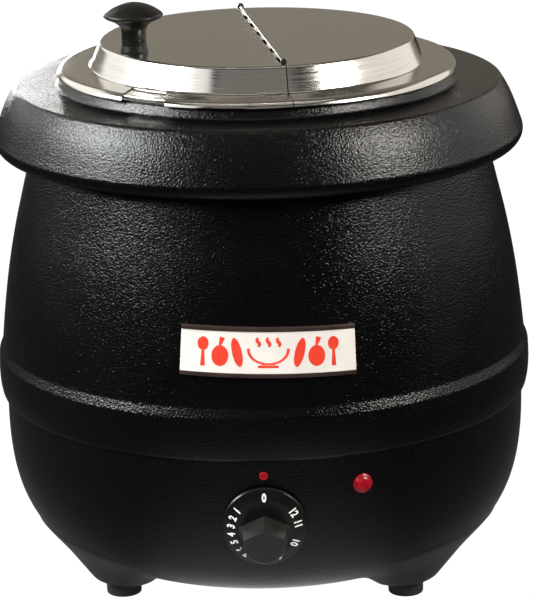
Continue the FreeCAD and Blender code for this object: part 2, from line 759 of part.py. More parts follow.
def make_sensing_bulb():
    bulb = Part.makeTorus(BULB_CIRCLE_R, BULB_TUBE, V(0, 0, BULB_Z), V(0, 0, 1), 0, 360, 40)
    return turn_about_z(bulb, -90.0 + BULB_TURN)


def make_bulb_clip():
    inner_r = BULB_CIRCLE_R - 2.7
    outer_r = BULB_CIRCLE_R + 4.2
    top = BULB_Z + 5.4
    bottom = BULB_Z - 4.4
    sheet = 1.0
    clip = turned([(inner_r, top, 0.0), (outer_r, top, 0.0), (outer_r, bottom, 0.0),
                   (inner_r, bottom, 0.0), (inner_r, bottom + sheet, 0.0),
                   (outer_r - sheet, bottom + sheet, 0.0), (outer_r - sheet, top - sheet, 0.0),
                   (inner_r, top - sheet, 0.0)], 6.0)
    return turn_about_z(clip, -90.0 + BULB_TURN + 17.0)


def dial_point(x, y, z):
    spot = dial_place(Part.Vertex(x, y, z)).Vertexes[0].Point
    return (spot.x, spot.y, spot.z)


def make_capillary_tube():
    start = dial_point(12.0, 8.0, -34.0)
    past = dial_point(12.0, 8.0, -44.0)
    a = math.radians(-90.0 + BULB_TURN)
    end_x = BULB_CIRCLE_R * math.cos(a)
    end_y = BULB_CIRCLE_R * math.sin(a)
    back_x = end_x + 14.0 * math.sin(a)
    back_y = end_y - 14.0 * math.cos(a)
    route = [start, past, (42.0, -116.0, 62.0), (66.0, -112.0, 66.0), (back_x, back_y, BULB_Z),
             (end_x, end_y, BULB_Z)]
    return tube(route, 0.9)


# ---- base ----
BASE_PLATE_R = 77.0
BASE_SCREW_R = 71.5
BASE_SCREW_TURNS = [0.0, 120.0, 240.0]
BASE_PLATE_T = 1.2
FOOT_POCKET_R = 5.4      # the pocket for the screw's head, under each foot
FOOT_POCKET_Z = 4.6


def make_base_plate():
    plate = cylinder(BASE_PLATE_R, BASE_PLATE_T, (0, 0, BOWL_FLOOR_Z - BASE_PLATE_T))
    for turn in BASE_SCREW_TURNS:
        spot = outward(turn) * BASE_SCREW_R
        plate = plate.cut(cylinder(BASE_SCREW_HOLE_R, 10, (spot.x, spot.y, 15)))
    for row in range(-2, 3):
        for turn in range(8):
            a = math.radians(45.0 * turn + 22.5)
            reach = 20.0 + 8.0 * (row + 2)
            plate = plate.cut(cylinder(2.2, 10, (reach * math.cos(a), reach * math.sin(a), 15)))
    return plate


def make_base_screws():
    screws = []
    for turn in BASE_SCREW_TURNS:
        spot = outward(turn) * BASE_SCREW_R
        low = BOWL_FLOOR_Z - BASE_PLATE_T
        shank = cylinder(BASE_SCREW_SHANK_R, 10.0, (spot.x, spot.y, low))
        head = cylinder(3.8, 2.2, (spot.x, spot.y, low - 2.2))
        slot = block(6.0, 0.9, 0.9, (spot.x - 3.0, spot.y - 0.45, low - 2.2))
        screws.append(fuse([shank, head]).cut(slot))
    return Part.makeCompound(screws)


def make_foot(turn):
    spot = outward(turn) * FOOT_CIRCLE_R
    pad = turned([(FOOT_HOLE_R, FOOT_POCKET_Z), (FOOT_HOLE_R, FOOT_H), (FOOT_R - 0.6, FOOT_H),
                  (FOOT_R, FOOT_H - 1.0, 0.4), (FOOT_R - 0.4, 0.0, 1.0), (FOOT_POCKET_R, 0.0, 0.0),
                  (FOOT_POCKET_R, FOOT_POCKET_Z, 0.0)])
    pad.translate(V(spot.x, spot.y, 0))
    return pad


def make_foot_screws():
    screws = []
    for turn in FOOT_TURNS:
        spot = outward(turn) * FOOT_CIRCLE_R
        shank = cylinder(THREAD_R, 13.0, (spot.x, spot.y, FOOT_POCKET_Z))
        head = cylinder(4.6, FOOT_POCKET_Z - 1.8, (spot.x, spot.y, 1.8))
        slot = cylinder(1.4, 1.4, (spot.x, spot.y, 1.8))
        screws.append(fuse([shank, head]).cut(slot))
    return Part.makeCompound(screws)


def make_foot_nuts():
    nuts = []
    for turn in FOOT_TURNS:
        spot = outward(turn) * FOOT_CIRCLE_R
        nuts.append(nut(NUT_ACROSS, THREAD_R + RUNNING, NUT_H, (spot.x, spot.y, FOOT_H + SHEET)))
    return Part.makeCompound(nuts)


def make_cable_gland():
    flange = cylinder(9.5, 3.0, (0, 0, 0.6))
    dome = turned([(0.0, 3.6), (8.4, 3.6, 0.0), (7.8, 7.0), (5.6, 10.0), (0.0, 10.0)])
    thread = cylinder(GLAND_THREAD_R, 14.0, (0, 0, -13.4))
    return gland_place(fuse([flange, dome, thread]).cut(cylinder(CABLE_R, 30.0, (0, 0, -14.0))))


def make_gland_nut():
    return gland_place(nut(17.0, GLAND_THREAD_R + RUNNING, NUT_H, (0, 0, -7.0)))


TERMINAL_Y = 45.0
TERMINAL_XS = (-10.5, 0.0, 10.5)


def make_terminal_block():
    block_body = rounded_block(32.0, 18.0, 14.0, (-16.0, TERMINAL_Y - 9.0, BOWL_FLOOR_Z), 1.0)
    for x in TERMINAL_XS:
        wire_hole = cylinder(2.0, 30.0, (x, TERMINAL_Y - 15.0, BOWL_FLOOR_Z + 6.0), (0, 1, 0))
        block_body = block_body.cut(wire_hole)
        block_body = block_body.cut(cylinder(2.4, 6.0, (x, TERMINAL_Y, BOWL_FLOOR_Z + 8.5)))
    return block_body


def make_terminal_screws():
    screws = []
    for x in TERMINAL_XS:
        shank = cylinder(2.2, 4.0, (x, TERMINAL_Y, BOWL_FLOOR_Z + 8.7))
        slot = block(6.0, 0.7, 0.8, (x - 3.0, TERMINAL_Y - 0.35, BOWL_FLOOR_Z + 12.0))
        screws.append(shank.cut(slot))
    return Part.makeCompound(screws)


def main():
    save("lower_bowl", make_lower_bowl())
    save("upper_shell", make_upper_shell())
    save("top_collar", make_top_collar())
    save("well_seal", make_well_seal())
    save("water_well", make_water_well())
    save("insert_pot", make_insert_pot())
    save("lid_right_half", make_lid_part(1, 0))
    save("lid_folding_flap", make_lid_part(-1, 1))
    save("hinge_pin", make_hinge_pin())
    save("knob_ferrule", make_knob_ferrule())
    save("lid_knob", make_lid_knob())
    save("knob_screw", make_knob_screw())
    save("control_dial", make_control_dial())
    save("thermostat_shaft", make_thermostat_shaft())
    save("dial_spring_clip", make_dial_spring_clip())
    save("thermostat_body", make_thermostat_body())
    save("thermostat_bracket", make_thermostat_bracket())
    save("thermostat_screws", make_thermostat_screws())
    save("index_marker", make_index_marker())
    save("pilot_lamp_lens", make_lamp_lens())
    save("pilot_lamp_body", make_lamp_body())
    save("pilot_lamp_clip", make_lamp_clip())
    save("label_holder", make_label_holder())
    save("label_card", make_label_card())
    save("heating_element", make_heating_element())
    save("heater_plate", make_heater_plate())
    save("heater_studs", make_heater_studs())
    save("heater_nuts", make_heater_nuts())
    save("thermal_cutout", make_thermal_cutout())
    save("insulation_blanket", make_insulation_blanket())
    save("sensing_bulb", make_sensing_bulb())
    save("bulb_clip", make_bulb_clip())
    save("capillary_tube", make_capillary_tube())
    save("base_plate", make_base_plate())
    save("base_screws", make_base_screws())
    for name, turn in zip(("foot_left", "foot_right", "foot_rear"), FOOT_TURNS):
        save(name, make_foot(turn))
    save("foot_screws", make_foot_screws())
    save("foot_nuts", make_foot_nuts())
    save("cable_gland", make_cable_gland())
    save("gland_nut", make_gland_nut())
    save("terminal_block", make_terminal_block())
    save("terminal_screws", make_terminal_screws())


main()
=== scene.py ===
import math

import bmesh
import bpy
from mathutils import Matrix, Vector


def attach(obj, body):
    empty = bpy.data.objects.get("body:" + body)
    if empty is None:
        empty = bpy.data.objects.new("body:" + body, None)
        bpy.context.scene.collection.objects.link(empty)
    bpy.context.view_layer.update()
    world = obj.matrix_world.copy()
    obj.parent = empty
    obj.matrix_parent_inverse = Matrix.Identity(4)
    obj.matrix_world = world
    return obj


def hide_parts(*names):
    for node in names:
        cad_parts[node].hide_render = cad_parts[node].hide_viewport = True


# Soup kettle: painted shells, steel lid with a folding flap, dial, lamp and label.
# Outlines are in millimetres, as radius and height, and become metres in the meshes.

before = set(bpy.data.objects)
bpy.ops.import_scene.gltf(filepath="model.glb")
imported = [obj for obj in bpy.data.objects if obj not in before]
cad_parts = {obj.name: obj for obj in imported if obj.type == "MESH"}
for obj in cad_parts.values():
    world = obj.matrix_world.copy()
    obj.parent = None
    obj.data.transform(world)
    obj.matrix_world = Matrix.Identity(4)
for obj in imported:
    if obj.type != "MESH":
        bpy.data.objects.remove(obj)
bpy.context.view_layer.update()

MM = 0.001
SHEET = 1.0     # painted shells
THIN = 0.8      # pot
TINY = 1e-6     # radii under this are on the axis

# ---- outlines, outside faces ----
BOWL = [(66.0, 21.0), (90.0, 21.0), (118.0, 27.0), (139.5, 37.5), (150.5, 48.5), (158.4, 64.0),
        (162.9, 81.0), (165.1, 101.0), (165.3, 122.0), (165.3, 146.0)]
BELL = [(126.5, 323.2), (134.5, 323.2, 3.0), (139.0, 300.0), (144.5, 280.0), (150.3, 256.5),
        (155.3, 236.5), (159.4, 216.5), (162.6, 197.0), (165.1, 177.5), (166.9, 160.0, 6.0),
        (169.3, 154.0, 5.0), (169.9, 143.0), (169.3, 134.0), (167.9, 127.6, 4.0), (165.9, 126.6)]
COLLAR = [(118.9, 330.9), (121.9, 330.9, 1.5), (125.2, 324.2, 3.0), (152.2, 324.2, 3.5),
          (157.6, 315.5), (161.4, 306.5), (164.4, 298.0), (169.0, 284.5, 7.4), (157.6, 284.5)]
POT = [(0.0, 86.8), (104.7, 86.8, 18.0), (104.7, 334.5, 1.2), (121.2, 334.5, 0.95),
       (121.2, 332.5, 0.95), (117.2, 332.5)]
KNOB = [(0.0, 7.8), (7.2, 7.8, 0.4), (7.5, 8.6), (7.4, 12.6), (8.2, 16.4), (11.5, 19.3), (17.3, 21.8),
        (18.4, 23.3, 0.8), (17.5, 24.6), (12.3, 28.2), (6.0, 30.5), (0.0, 31.2)]
FOOT = [(2.7, 4.6), (2.7, 8.0), (10.8, 8.0), (11.4, 7.0, 0.4), (11.2, 5.2), (11.2, 3.0),
        (11.0, 0.0, 1.0), (5.4, 0.0), (5.4, 4.6)]
LENS = [(0.0, -5.0), (4.95, -5.0), (4.95, 0.3), (6.1, 0.3), (6.1, 1.3, 0.4), (5.0, 1.9, 0.3),
        (4.7, 2.5, 0.6), (3.2, 3.4, 2.0), (0.0, 3.9)]
INDEX_CAP = [(0.0, -4.0), (1.6, -4.0), (1.6, 0.15), (2.75, 0.15), (2.6, 0.9, 0.3), (2.05, 1.25, 0.2),
             (1.75, 1.0, 0.15), (0.0, 1.15)]

# ---- places ----
FOOT_CIRCLE_R = 104.2
FOOT_TURNS = {"foot_left": -62.8, "foot_right": 57.2, "foot_rear": 177.2}
LID_TOP_Z = 350.9
KNOB_TURN = -57.8
KNOB_POS_R = 87.5
DIAL_Z = 86.5
INDEX_Z = 117.9
LAMP_TURN = 20.8
LAMP_Z = 108.5
GLAND_Z = 66.0
LABEL_TURN = 1.6
LABEL_TILT = -1.6
LABEL_LOW_Z = 179.0
LABEL_HIGH_Z = 208.8
LABEL_ARC = 36.4
LABEL_MIDDLE_Z = (LABEL_LOW_Z + LABEL_HIGH_Z) / 2
HOLDER_BACK = 0.75
HOLDER_DEPTH = 1.9
HOLDER_LIP = 2.6
CARD_BACK = 1.5
CARD_FACE = 2.1
CARD_EDGE = 0.9
PRINT_T = 0.12

# ---- holes: radii, where they are, and from where to where they are cut ----
SHAFT_HOLE_R = 5.4
THERMOSTAT_SCREW_HOLE_R = 2.1
THERMOSTAT_SCREW_X = 14.0
INDEX_HOLE_R = 1.65
LAMP_HOLE_R = 5.2
GLAND_HOLE_R = 6.2
FOOT_SCREW_HOLE_R = 2.7
BASE_SCREW_HOLE_R = 1.9
BASE_SCREW_CIRCLE_R = 71.5
BASE_SCREW_TURNS = (0, 120, 240)
KNOB_HOLE_R = 2.5
THROUGH_WALL = (-10, 8)
THROUGH_INDEX = (-5, 5)
THROUGH_LEG = (0, 20)
THROUGH_FLOOR = (17, 27)
INTO_KNOB = (7.0, 19.8)


# ---- outline helpers ----
FILLET_SHARE = 0.49     # of the shorter run beside a corner
SAME_POINT = 1e-5
STRAIGHT = 1e-4


def smooth_radius(before, corner, after):
    """The largest fillet that stays inside half of the shorter run."""
    a = math.dist(before, corner)
    b = math.dist(corner, after)
    cos_turn = ((corner[0] - before[0]) * (after[0] - corner[0])
                + (corner[1] - before[1]) * (after[1] - corner[1])) / (a * b)
    half = math.acos(max(-1.0, min(1.0, cos_turn))) / 2
    if half < TINY:
        return 0.0
    return FILLET_SHARE * min(a, b) / math.tan(half)


def with_radii(points):
    """Give every inner corner off the axis its radius: its own, or the largest that fits."""
    out = []
    for i, p in enumerate(points):
        if i == 0 or i == len(points) - 1 or abs(p[0]) < TINY:
            out.append((p[0], p[1], 0.0))
        elif len(p) == 2:
            out.append((p[0], p[1], smooth_radius(points[i - 1][:2], p, points[i + 1][:2])))
        else:
            out.append(p)
    return out


def beside(points, gap):
    """The same run of corners, moved sideways (to the right of travel) by gap."""
    out = []
    for i, (x, y, radius) in enumerate(points):
        dirs = []
        if i > 0:
            dirs.append((x - points[i - 1][0], y - points[i - 1][1]))
        if i < len(points) - 1:
            dirs.append((points[i + 1][0] - x, points[i + 1][1] - y))
        normals = [(dy / math.hypot(dx, dy), -dx / math.hypot(dx, dy)) for dx, dy in dirs]
        if len(normals) == 1:
            out.append((x + normals[0][0] * gap, y + normals[0][1] * gap, 0.0))
            continue
        (ax, ay), (bx, by) = normals
        scale = gap / (1 + ax * bx + ay * by)
        turn = dirs[0][0] * dirs[1][1] - dirs[0][1] * dirs[1][0]
        change = gap if turn > 0 else -gap
        out.append((x + (ax + bx) * scale, y + (ay + by) * scale, max(radius + change, 0.05)))
    return out


def sampled(corners, arc_step=6.0, run_step=1e9):
    """Points along straight runs joined by tangent arcs through the corners."""
    out = [Vector(corners[0][:2])]

    def run_to(point):
        start = out[-1].copy()
        gap = (point - start).length
        if gap < SAME_POINT:
            return
        count = max(1, math.ceil(gap / run_step))
        for k in range(1, count + 1):
            out.append(start.lerp(point, k / count))

    for i in range(1, len(corners)):
        corner = Vector(corners[i][:2])
        radius = corners[i][2]
        if i == len(corners) - 1 or radius <= 0:
            run_to(corner)
            continue
        d_in = (corner - Vector(corners[i - 1][:2])).normalized()
        d_out = (Vector(corners[i + 1][:2]) - corner).normalized()
        turn = d_in.angle_signed(d_out)
        if abs(turn) < STRAIGHT:
            continue
        cut = radius * math.tan(abs(turn) / 2)
        run_to(corner - d_in * cut)
        start = corner - d_in * cut
        side = Vector((d_in.y, -d_in.x)) * (1 if turn > 0 else -1)
        centre = start + side * radius
        arc_length = radius * abs(turn)
        count = max(2, math.ceil(math.degrees(abs(turn)) / arc_step), math.ceil(arc_length / run_step))
        for k in range(1, count + 1):
            spoke = (start - centre).copy()
            spoke.rotate(Matrix.Rotation(-turn * k / count, 2))
            out.append(centre + spoke)
    return out


def wall_at(points, z):
    """Radius and lean, in degrees, of a run of corners at this height."""
    for a, b in zip(points, points[1:]):
        if min(a[1], b[1]) <= z <= max(a[1], b[1]) and a[1] != b[1]:
            share = (z - a[1]) / (b[1] - a[1])
            return a[0] + share * (b[0] - a[0]), math.degrees(math.atan2(b[0] - a[0], b[1] - a[1]))
    raise ValueError("no wall at this height")


def outward(degrees):
    """The horizontal direction at this many degrees from the front, towards +X."""
    a = math.radians(degrees)
    return Vector((math.sin(a), -math.cos(a), 0))


def on_wall(degrees, z):
    """The matrix of a place on the bowl: its +Z looks outward, its +Y looks up."""
    wall_r, lean = wall_at(BOWL, z)
    out_dir = outward(degrees)
    a = math.radians(lean)
    across = Vector((math.cos(math.radians(degrees)), math.sin(math.radians(degrees)), 0))
    facing = out_dir * math.cos(a) - Vector((0, 0, 1)) * math.sin(a)
    up = out_dir * math.sin(a) + Vector((0, 0, 1)) * math.cos(a)
    columns = Matrix((across, up, facing)).transposed().to_4x4()
    columns.translation = out_dir * wall_r + Vector((0, 0, z))
    return columns


# ---- mesh helpers ----
SHARP = 35.0    # degrees between faces that show as an edge


def new_object(name, data):
    """An object with this data, in the scene."""
    made = bpy.data.objects.new(name, data)
    bpy.context.scene.collection.objects.link(made)
    return made


def face_outward(mesh):
    bm = bmesh.new()
    bm.from_mesh(mesh)
    bmesh.ops.recalc_face_normals(bm, faces=bm.faces)
    bm.to_mesh(mesh)
    bm.free()


def make_piece(name, verts, faces, material, body, slot, sharp=SHARP, matrix=None):
    """A mesh piece from points in millimetres, smooth but for edges sharper than sharp."""
    mesh = bpy.data.meshes.new(name)
    place = matrix or Matrix.Identity(4)
    mesh.from_pydata([tuple((place @ Vector(v)) * MM) for v in verts], [], faces)
    mesh.validate()
    face_outward(mesh)
    mesh.shade_smooth()
    mesh.set_sharp_from_angle(angle=math.radians(sharp))
    piece = new_object(name, mesh)
    mesh.materials.append(material)
    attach(piece, body)
    return piece


def ring_faces(rings, count):
    """Faces between each of these rings of points and the next."""
    faces = []
    for i in range(rings - 1):
        low, high = i * count, (i + 1) * count
        for k in range(count):
            n = (k + 1) % count
            faces.append([low + k, low + n, high + n, high + k])
    return faces


def revolved(loop, segments):
    """Points and faces of an outline turned about Z, closed unless both ends are on the axis."""
    verts, rings = [], []
    for r, z in loop:
        if abs(r) < TINY:
            rings.append([len(verts)] * segments)
            verts.append((0.0, 0.0, z))
            continue
        rings.append(list(range(len(verts), len(verts) + segments)))
        for k in range(segments):
            a = 2 * math.pi * k / segments
            verts.append((r * math.cos(a), r * math.sin(a), z))
    faces = []
    pairs = list(zip(rings, rings[1:]))
    if max(loop[0][0], loop[-1][0]) >= TINY:
        pairs.append((rings[-1], rings[0]))
    for low, high in pairs:
        for k in range(segments):
            n = (k + 1) % segments
            corners = [low[k], low[n], high[n], high[k]]
            face = [c for i, c in enumerate(corners) if c != corners[i - 1]]
            if len(set(face)) > 2:
                faces.append(face)
    return verts, faces


def sheet_loop(points, thickness, **steps):
    """A closed outline: the run of corners, and the same run moved by the sheet's thickness."""
    near = with_radii(points)
    return sampled(near, **steps) + sampled(beside(near, thickness), **steps)[::-1]


def cut_with(piece, cutters):
    """Cut closed meshes, given as (points, faces) in metres, out of a piece."""
    mesh = bpy.data.meshes.new("cutter")
    verts, faces = [], []
    for points, polygons in cutters:
        start = len(verts)
        verts += points
        faces += [[start + i for i in f] for f in polygons]
    mesh.from_pydata(verts, [], faces)
    face_outward(mesh)
    cutter = new_object("cutter", mesh)
    cut = piece.modifiers.new("cut", "BOOLEAN")
    cut.operation = "DIFFERENCE"
    cut.solver = "EXACT"
    cut.object = cutter
    bpy.context.view_layer.update()
    graph = bpy.context.evaluated_depsgraph_get()
    result = bpy.data.meshes.new_from_object(piece.evaluated_get(graph))
    piece.modifiers.clear()
    old = piece.data
    piece.data = result
    bpy.data.meshes.remove(old)
    bpy.data.objects.remove(cutter)
    piece.data.shade_smooth()
    piece.data.set_sharp_from_angle(angle=math.radians(SHARP))


def rod(radius, low, high, matrix):
    """A plain cutting rod in metres, along the matrix's own Z."""
    verts, faces = revolved([(0, low), (radius, low), (radius, high), (0, high)], 32)
    return [tuple((matrix @ Vector(v)) * MM) for v in verts], faces


# ---- materials ----
ACROSS_STREAKS = 900.0      # how close the steel's streaks lie, per metre
STEEL_COLOUR = (0.60, 0.575, 0.53)
LID_FLAT_ABOVE = 0.3503     # in metres, where the lid is flat and brushed straight


def add(tree, kind, settings=None, inputs=None):
    """A shader node, its settings and its inputs: values, or sockets to link."""
    made = tree.nodes.new(kind)
    for key, value in (settings or {}).items():
        setattr(made, key, value)
    for key, value in (inputs or {}).items():
        if isinstance(value, bpy.types.NodeSocket):
            tree.links.new(value, made.inputs[key])
        else:
            made.inputs[key].default_value = value
    return made


def new_material(name, **constants):
    """A material whose Principled shader has these constant inputs."""
    made = bpy.data.materials.new(name)
    made.use_nodes = True
    shader = made.node_tree.nodes["Principled BSDF"]
    for key, value in constants.items():
        shader.inputs[key.replace("_", " ")].default_value = value
    return made, made.node_tree, shader


def place_of(tree, scale=(1.0, 1.0, 1.0)):
    """The place in the piece's own coordinates, in metres."""
    coords = add(tree, "ShaderNodeTexCoord")
    mapping = add(tree, "ShaderNodeMapping", inputs={"Vector": coords.outputs["Object"], "Scale": scale})
    return mapping.outputs["Vector"]


def noise(tree, vector, scale, detail=2.0, rough=0.5, distortion=0.0):
    """Soft noise, mostly from 0.3 to 0.7."""
    made = add(tree, "ShaderNodeTexNoise", inputs={
        "Vector": vector, "Scale": scale, "Detail": detail, "Roughness": rough, "Distortion": distortion})
    return made.outputs["Fac"]


def spread(tree, value, low, high, from_low=0.3, from_high=0.7):
    """The value's range moved to the range from low to high."""
    made = add(tree, "ShaderNodeMapRange", inputs={
        "Value": value, "From Min": from_low, "From Max": from_high, "To Min": low, "To Max": high})
    return made.outputs["Result"]


def tones(tree, value, low, high, from_low=0.3, from_high=0.7):
    """A colour between two tones, by the value."""
    made = add(tree, "ShaderNodeValToRGB", inputs={"Fac": value})
    made.color_ramp.elements[0].position = from_low
    made.color_ramp.elements[1].position = from_high
    made.color_ramp.elements[0].color = (*low, 1.0)
    made.color_ramp.elements[1].color = (*high, 1.0)
    return made.outputs["Color"]


def math_node(tree, operation, a, b):
    return add(tree, "ShaderNodeMath", {"operation": operation}, {0: a, 1: b}).outputs["Value"]


def axis_radius(tree, x, y):
    """The distance from the Z axis."""
    squares = math_node(tree, "ADD", math_node(tree, "MULTIPLY", x, x), math_node(tree, "MULTIPLY", y, y))
    return math_node(tree, "SQRT", squares, 0.0)


def bumped(tree, shader, height, distance):
    bump = add(tree, "ShaderNodeBump", inputs={"Height": height, "Distance": distance, "Strength": 1.0})
    tree.links.new(bump.outputs["Normal"], shader.inputs["Normal"])


def hammered_paint():
    """Black powder coat with a worm-like hammered grain."""
    made, tree, shader = new_material("hammered_black", Specular_IOR_Level=0.30)
    here = place_of(tree)
    worms = noise(tree, here, 950.0, 1.2, 0.45, 0.4)
    cells = add(tree, "ShaderNodeTexVoronoi", {"feature": "SMOOTH_F1"},
                {"Vector": here, "Scale": 800.0, "Smoothness": 0.6})
    height = math_node(tree, "MULTIPLY_ADD", cells.outputs["Distance"], -0.35)
    tree.links.new(worms, height.node.inputs[2])
    bumped(tree, shader, height, 0.0003)
    cloud = noise(tree, here, 24.0, 3.0)
    tree.links.new(spread(tree, cloud, 0.16, 0.23), shader.inputs["Roughness"])
    tree.links.new(tones(tree, worms, (0.0008, 0.0008, 0.0009), (0.0020, 0.0019, 0.0018)),
                   shader.inputs["Base Color"])
    return made


def streaks_along_x(tree, coords):
    return add(tree, "ShaderNodeMapping", inputs={
        "Vector": coords, "Scale": (4.0, ACROSS_STREAKS, 300.0)}).outputs["Vector"]


def streaks_round(tree, coords):
    parts = add(tree, "ShaderNodeSeparateXYZ", inputs={"Vector": coords})
    x, y, z = parts.outputs
    return add(tree, "ShaderNodeCombineXYZ", inputs={
        "X": math_node(tree, "MULTIPLY", axis_radius(tree, x, y), ACROSS_STREAKS),
        "Y": math_node(tree, "MULTIPLY", math_node(tree, "ARCTAN2", y, x), 1.6),
        "Z": math_node(tree, "MULTIPLY", z, ACROSS_STREAKS)}).outputs["Vector"]


def brushed_steel(name, rough, flat_above=None, bump=0.00003):
    """Stainless sheet with fine streaks round the axis, or along X above a height in metres."""
    made, tree, shader = new_material(name, Metallic=1.0)
    coords = add(tree, "ShaderNodeTexCoord").outputs["Object"]
    streak_at = streaks_round(tree, coords)
    if flat_above is not None:
        height = add(tree, "ShaderNodeSeparateXYZ", inputs={"Vector": coords}).outputs["Z"]
        chosen = add(tree, "ShaderNodeMix", {"data_type": "VECTOR"}, {
            0: math_node(tree, "GREATER_THAN", height, flat_above),
            4: streak_at, 5: streaks_along_x(tree, coords)})
        streak_at = chosen.outputs[1]
    streaks = noise(tree, streak_at, 1.0, 4.0, 0.65)
    cloud = noise(tree, coords, 30.0, 3.0)
    level = math_node(tree, "MULTIPLY_ADD", cloud, 0.35)
    tree.links.new(streaks, level.node.inputs[2])
    tree.links.new(spread(tree, level, rough[0], rough[1], 0.5, 0.85), shader.inputs["Roughness"])
    dark = tuple(c * 0.88 for c in STEEL_COLOUR)
    tree.links.new(tones(tree, streaks, dark, STEEL_COLOUR, 0.35, 0.62), shader.inputs["Base Color"])
    bumped(tree, shader, streaks, bump)
    return made


def moulded(name, low, high, rough=(0.2, 0.3), grain=900.0, bump=0.00002, specular=0.5):
    """Moulded plastic or rubber: two close tones, slight orange peel and handling marks."""
    made, tree, shader = new_material(name, Specular_IOR_Level=specular)
    here = place_of(tree)
    peel = noise(tree, here, grain, 2.0)
    cloud = noise(tree, here, 90.0, 4.0, 0.6)
    tree.links.new(tones(tree, cloud, low, high), shader.inputs["Base Color"])
    tree.links.new(spread(tree, cloud, rough[0], rough[1]), shader.inputs["Roughness"])
    bumped(tree, shader, peel, bump)
    return made


def metal(name, low, high, rough, grain=300.0):
    """Plain metal with a mottled surface."""
    made, tree, shader = new_material(name, Metallic=1.0)
    here = place_of(tree)
    mottle = noise(tree, here, grain, 4.0, 0.6)
    tree.links.new(tones(tree, mottle, low, high), shader.inputs["Base Color"])
    tree.links.new(spread(tree, mottle, rough[0], rough[1]), shader.inputs["Roughness"])
    bumped(tree, shader, mottle, 0.00002)
    return made


def red_glass():
    """Red moulded plastic in two depths of tint, with faint ripples."""
    made, tree, shader = new_material("red_lens", Roughness=0.24, Specular_IOR_Level=0.3)
    here = place_of(tree)
    depth = noise(tree, here, 260.0, 2.0)
    tree.links.new(tones(tree, depth, (0.20, 0.002, 0.006), (0.34, 0.005, 0.012)),
                   shader.inputs["Base Color"])
    bumped(tree, shader, noise(tree, here, 700.0, 1.0), 0.00001)
    return made


def wool():
    """Yellowish mineral wool with its fibres drawn out upward."""
    made, tree, shader = new_material("mineral_wool", Roughness=0.95)
    here = place_of(tree)
    fibres = noise(tree, place_of(tree, (1.0, 1.0, 0.25)), 420.0, 6.0, 0.7, 1.5)
    tree.links.new(tones(tree, noise(tree, here, 120.0, 5.0), (0.30, 0.26, 0.18), (0.55, 0.50, 0.38)),
                   shader.inputs["Base Color"])
    bumped(tree, shader, fibres, 0.0006)
    return made


def card_white():
    """Slightly warm white plastic card."""
    made, tree, shader = new_material("card_white", Roughness=0.38)
    here = place_of(tree)
    tree.links.new(tones(tree, noise(tree, here, 70.0, 3.0), (0.66, 0.62, 0.57), (0.72, 0.69, 0.64)),
                   shader.inputs["Base Color"])
    bumped(tree, shader, noise(tree, here, 1500.0, 2.0), 0.000006)
    return made


PAINT = hammered_paint()
LID_STEEL = brushed_steel("lid_steel", (0.11, 0.21), flat_above=LID_FLAT_ABOVE)
POT_STEEL = brushed_steel("pot_steel_round", (0.12, 0.2), bump=0.00001)
PHENOLIC = moulded("black_phenolic_satin", (0.004, 0.0037, 0.0033), (0.007, 0.0063, 0.0056),
                   (0.27, 0.36), specular=0.26)
DIAL_BLACK = moulded("dial_black", (0.003, 0.003, 0.003), (0.006, 0.0055, 0.005),
                     (0.20, 0.28), specular=0.4)
GRIP_BLACK = moulded("dial_grip_black", (0.011, 0.0105, 0.0095), (0.017, 0.016, 0.0145), (0.30, 0.40))
RED = red_glass()
RUBBER = moulded("foot_rubber", (0.012, 0.012, 0.012), (0.022, 0.021, 0.020),
                 (0.45, 0.6), 1400.0, 0.00005)
NUMBER_WHITE = moulded("number_white", (0.78, 0.78, 0.76), (0.86, 0.86, 0.84),
                       (0.4, 0.5), 1500.0, 0.000005)
CARD = card_white()
PRINT_RED = moulded("print_red", (0.62, 0.030, 0.012), (0.72, 0.045, 0.018),
                    (0.35, 0.45), 1500.0, 0.000004)
FRAME_BROWN = moulded("label_frame_brown", (0.020, 0.011, 0.009), (0.032, 0.018, 0.015), (0.3, 0.42))

BY_SLOT = {
    "painted_shell": PAINT,
    "polished_steel": LID_STEEL,
    "pot_steel": POT_STEEL,
    "galvanised": metal("galvanised_sheet", (0.42, 0.43, 0.44), (0.58, 0.59, 0.60), (0.3, 0.5), 90.0),
    "black_phenolic": PHENOLIC,
    "black_nylon": moulded("black_nylon_matt", (0.010, 0.010, 0.010), (0.02, 0.02, 0.02), (0.4, 0.5)),
    "white_plastic": moulded("white_plastic_case", (0.60, 0.59, 0.55), (0.68, 0.67, 0.63), (0.35, 0.45)),
    "red_lens": RED,
    "rubber_foot": RUBBER,
    "seal_rubber": moulded("seal_rubber_grey", (0.03, 0.03, 0.03), (0.05, 0.05, 0.05), (0.5, 0.6)),
    "label_frame": FRAME_BROWN,
    "label_card": CARD,
    "mineral_wool": wool(),
    "element_sheath": metal("element_sheath_steel", (0.20, 0.18, 0.16), (0.34, 0.31, 0.28), (0.35, 0.5)),
    "aluminium_plate": metal("aluminium_cast", (0.60, 0.61, 0.62), (0.72, 0.73, 0.74), (0.32, 0.45)),
    "copper": metal("copper_tube", (0.60, 0.28, 0.16), (0.72, 0.36, 0.22), (0.25, 0.4)),
    "brass_screw": metal("brass_plain", (0.56, 0.42, 0.17), (0.70, 0.54, 0.24), (0.25, 0.4)),
}


def finish_cad_nodes():
    """Every CAD node takes the procedural material of its own slot."""
    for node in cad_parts.values():
        slot_name = node.material_slots[0].material.name
        node.material_slots[0].material = BY_SLOT[slot_name]


# ---- shells ----
LEG_STEPS = [(8.0, 12.6, 12.6), (12.5, 26.0, 19.5), (50.0, 84.0, 46.0), (90.0, 92.0, 51.0)]
LEG_TOP_Z = 70          # the bowl above this is left round
LEG_REACH = 62          # degrees to either side of a foot
LEG_CREASE = 7.0        # how softly a leg meets the bowl
TURNED_STEPS = 360      # round the shells


